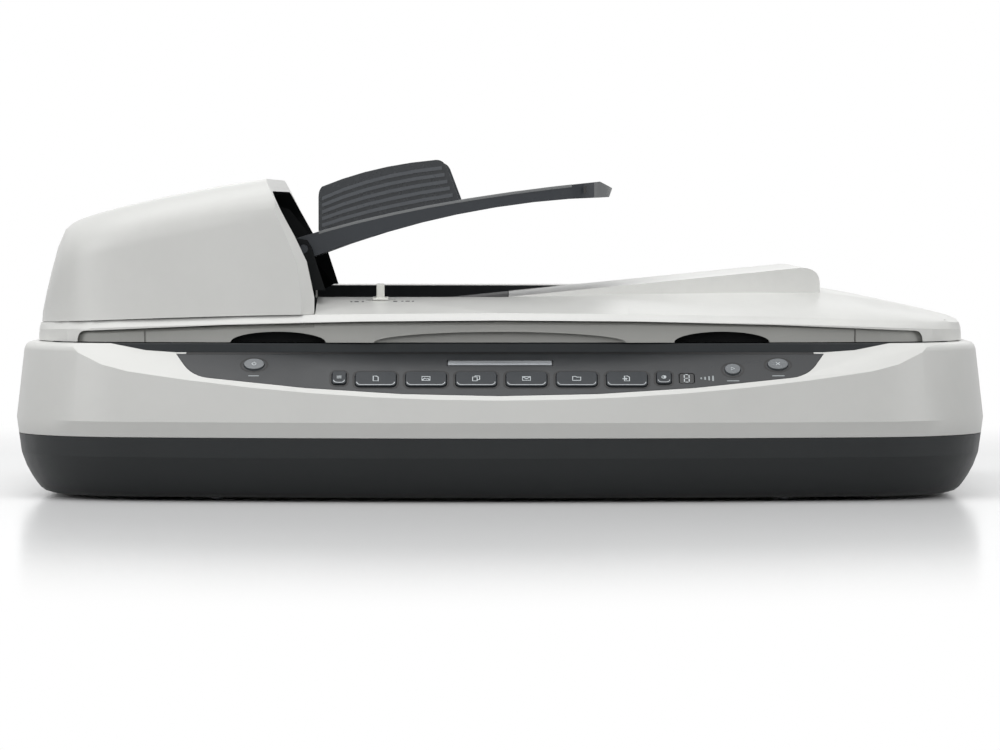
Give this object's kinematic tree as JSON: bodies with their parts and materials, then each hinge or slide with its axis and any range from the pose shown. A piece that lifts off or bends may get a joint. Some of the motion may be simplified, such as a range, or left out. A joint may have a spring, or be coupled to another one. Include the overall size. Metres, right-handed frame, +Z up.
{
  "type": "flatbed scanner",
  "caption": "Flatbed scanner with a slanted key panel and a hinged lid that carries a sheet feeder, input tray, paper guides and an output bin.",
  "frame": {"origin": "on the table, under the middle of the scanner's width and depth", "axes": "+X right for someone facing the keys, +Y to the rear, +Z up"},
  "size_m": [0.556, 0.351, 0.192],
  "materials": {
    "light_case": "fine moulded grain",
    "dark_tub": "fine moulded grain",
    "lid_grey": "fine moulded grain",
    "black_plastic": "satin",
    "panel_grey": "satin",
    "key_grey": "satin",
    "button_grey": "satin",
    "bright_bar": "polished",
    "display_window": "clear, polished",
    "glass": "polished",
    "white_pad": "smooth film",
    "white_plastic": "smooth",
    "tray_slate": "satin",
    "steel": "ground",
    "motor_steel": "zinc plated",
    "rubber": "matt",
    "board_green": "solder lacquer",
    "lamp_white": "diffusing"
  },
  "bodies": {
    "base": {"lower_tub": "dark_tub", "upper_case": "light_case", "platen_frame": "black_plastic", "platen_glass": "glass", "feeder_glass": "glass", "control_panel": "panel_grey", "status_bar": "bright_bar", "status_display": "display_window", "panel_board": "board_green", "main_board": "board_green", "power_inlet": "black_plastic", "data_socket": "black_plastic", "guide_rod": "steel", "slide_rail": "steel", "scan_motor": "motor_steel", "drive_belt": "rubber", "foot_front_left": "rubber", "foot_front_right": "rubber", "foot_rear_left": "rubber", "foot_rear_right": "rubber"},
    "carriage": {"carriage": "black_plastic", "scan_lamp": "lamp_white"},
    "drive_pulley": {"drive_pulley": "white_plastic"},
    "idler_pulley": {"idler_pulley": "white_plastic"},
    "hinge_posts": {"hinge_post_left": "steel", "hinge_post_right": "steel"},
    "lid": {"lid_shell": "light_case", "lid_pan": "lid_grey", "document_pad": "white_pad", "output_bed": "black_plastic", "adf_chassis": "black_plastic", "feed_motor": "motor_steel", "exit_belt": "rubber"},
    "paper_stop": {"paper_stop": "white_plastic"},
    "adf_cover": {"adf_cover": "light_case"},
    "input_tray": {"input_tray": "tray_slate"},
    "guide_front": {"paper_guide_front": "tray_slate"},
    "guide_rear": {"paper_guide_rear": "tray_slate"},
    "guide_pinion": {"guide_pinion": "white_plastic"},
    "feed_drum": {"feed_shaft": "steel", "feed_roller": "rubber"},
    "motor_pinion": {"motor_pinion": "steel"},
    "idler_gear": {"idler_gear": "white_plastic"},
    "pick": {"pick_shaft": "steel", "pick_roller": "rubber"},
    "exit": {"exit_shaft": "steel", "exit_roller": "rubber"},
    "power_button": {"power_button": "button_grey"},
    "menu_key": {"menu_key": "key_grey"},
    "scan_key_1": {"scan_key_1": "key_grey"},
    "scan_key_2": {"scan_key_2": "key_grey"},
    "scan_key_3": {"scan_key_3": "key_grey"},
    "scan_key_4": {"scan_key_4": "key_grey"},
    "scan_key_5": {"scan_key_5": "key_grey"},
    "scan_key_6": {"scan_key_6": "key_grey"},
    "colour_key": {"colour_key": "key_grey"},
    "copy_button": {"copy_button": "button_grey"},
    "cancel_button": {"cancel_button": "button_grey"}
  },
  "joints": [
    {"name": "carriage_travel", "type": "slide", "parent": "base", "child": "carriage", "axis": [1, 0, 0], "range_m": [0, 0.385]},
    {"name": "drive_pulley_spin", "type": "hinge", "parent": "base", "child": "drive_pulley", "pos_m": [0.236, 0.048, 0.031], "axis": [0, 0, 1], "range_deg": [0, 2800]},
    {"name": "idler_pulley_spin", "type": "hinge", "parent": "base", "child": "idler_pulley", "pos_m": [-0.248, 0.048, 0.031], "axis": [0, 0, 1], "range_deg": [0, 2800]},
    {"name": "hinge_post_lift", "type": "slide", "parent": "base", "child": "hinge_posts", "axis": [0, 0, 1], "range_m": [0, 0.018]},
    {"name": "lid_hinge", "type": "hinge", "parent": "hinge_posts", "child": "lid", "pos_m": [0, 0.158, 0.0995], "axis": [-1, 0, 0], "range_deg": [0, 65]},
    {"name": "paper_stop_slide", "type": "slide", "parent": "lid", "child": "paper_stop", "axis": [1, 0, 0], "range_m": [-0.006, 0.006]},
    {"name": "cover_hinge", "type": "hinge", "parent": "lid", "child": "adf_cover", "pos_m": [-0.263, 0, 0.09952], "axis": [0, -1, 0], "range_deg": [0, 65]},
    {"name": "tray_pivot", "type": "hinge", "parent": "lid", "child": "input_tray", "pos_m": [-0.1114, 0, 0.1413], "axis": [0, -1, 0], "range_deg": [0, 20]},
    {"name": "guide_slide", "type": "slide", "parent": "input_tray", "child": "guide_front", "axis": [0, 1, 0], "range_m": [0, 0.06]},
    {"name": "guide_slide_rear", "type": "slide", "parent": "input_tray", "child": "guide_rear", "axis": [0, 1, 0], "range_m": [-0.06, 0]},
    {"name": "guide_pinion_spin", "type": "hinge", "parent": "input_tray", "child": "guide_pinion", "pos_m": [-0.06704, 0.002, 0.16065], "axis": [-0.2202, 0, 0.9755], "range_deg": [0, 430]},
    {"name": "feed_spin", "type": "hinge", "parent": "lid", "child": "feed_drum", "pos_m": [-0.205, 0, 0.114], "axis": [0, -1, 0], "continuous": true},
    {"name": "motor_spin", "type": "hinge", "parent": "lid", "child": "motor_pinion", "pos_m": [-0.18488, 0, 0.12772], "axis": [0, -1, 0], "continuous": true},
    {"name": "idler_spin", "type": "hinge", "parent": "lid", "child": "idler_gear", "pos_m": [-0.16274, 0, 0.13075], "axis": [0, -1, 0], "continuous": true},
    {"name": "pick_spin", "type": "hinge", "parent": "lid", "child": "pick", "pos_m": [-0.15, 0, 0.1515], "axis": [0, -1, 0], "continuous": true},
    {"name": "exit_spin", "type": "hinge", "parent": "lid", "child": "exit", "pos_m": [-0.122, 0, 0.1145], "axis": [0, -1, 0], "continuous": true},
    {"name": "power_button_press", "type": "slide", "parent": "base", "child": "power_button", "axis": [0, 0.6428, -0.766], "range_m": [0, 0.001], "stiffness_N_per_m": 300},
    {"name": "menu_key_press", "type": "slide", "parent": "base", "child": "menu_key", "axis": [0, 0.6428, -0.766], "range_m": [0, 0.001], "stiffness_N_per_m": 300},
    {"name": "scan_key_1_press", "type": "slide", "parent": "base", "child": "scan_key_1", "axis": [0, 0.6428, -0.766], "range_m": [0, 0.001], "stiffness_N_per_m": 300},
    {"name": "scan_key_2_press", "type": "slide", "parent": "base", "child": "scan_key_2", "axis": [0, 0.6428, -0.766], "range_m": [0, 0.001], "stiffness_N_per_m": 300},
    {"name": "scan_key_3_press", "type": "slide", "parent": "base", "child": "scan_key_3", "axis": [0, 0.6428, -0.766], "range_m": [0, 0.001], "stiffness_N_per_m": 300},
    {"name": "scan_key_4_press", "type": "slide", "parent": "base", "child": "scan_key_4", "axis": [0, 0.6428, -0.766], "range_m": [0, 0.001], "stiffness_N_per_m": 300},
    {"name": "scan_key_5_press", "type": "slide", "parent": "base", "child": "scan_key_5", "axis": [0, 0.6428, -0.766], "range_m": [0, 0.001], "stiffness_N_per_m": 300},
    {"name": "scan_key_6_press", "type": "slide", "parent": "base", "child": "scan_key_6", "axis": [0, 0.6428, -0.766], "range_m": [0, 0.001], "stiffness_N_per_m": 300},
    {"name": "colour_key_press", "type": "slide", "parent": "base", "child": "colour_key", "axis": [0, 0.6428, -0.766], "range_m": [0, 0.001], "stiffness_N_per_m": 300},
    {"name": "copy_button_press", "type": "slide", "parent": "base", "child": "copy_button", "axis": [0, 0.6428, -0.766], "range_m": [0, 0.001], "stiffness_N_per_m": 300},
    {"name": "cancel_button_press", "type": "slide", "parent": "base", "child": "cancel_button", "axis": [0, 0.6428, -0.766], "range_m": [0, 0.001], "stiffness_N_per_m": 300}
  ],
  "couplings": [
    {"joint": "drive_pulley_spin", "follows": "carriage_travel", "rad_per_m": 126.58},
    {"joint": "idler_pulley_spin", "follows": "carriage_travel", "rad_per_m": 126.58},
    {"joint": "guide_slide_rear", "follows": "guide_slide", "ratio": -1},
    {"joint": "guide_pinion_spin", "follows": "guide_slide", "rad_per_m": 125},
    {"joint": "motor_spin", "follows": "feed_spin", "ratio": -2},
    {"joint": "idler_spin", "follows": "feed_spin", "ratio": 1.1429},
    {"joint": "pick_spin", "follows": "feed_spin", "ratio": -1.6},
    {"joint": "exit_spin", "follows": "feed_spin", "ratio": 1}
  ]
}
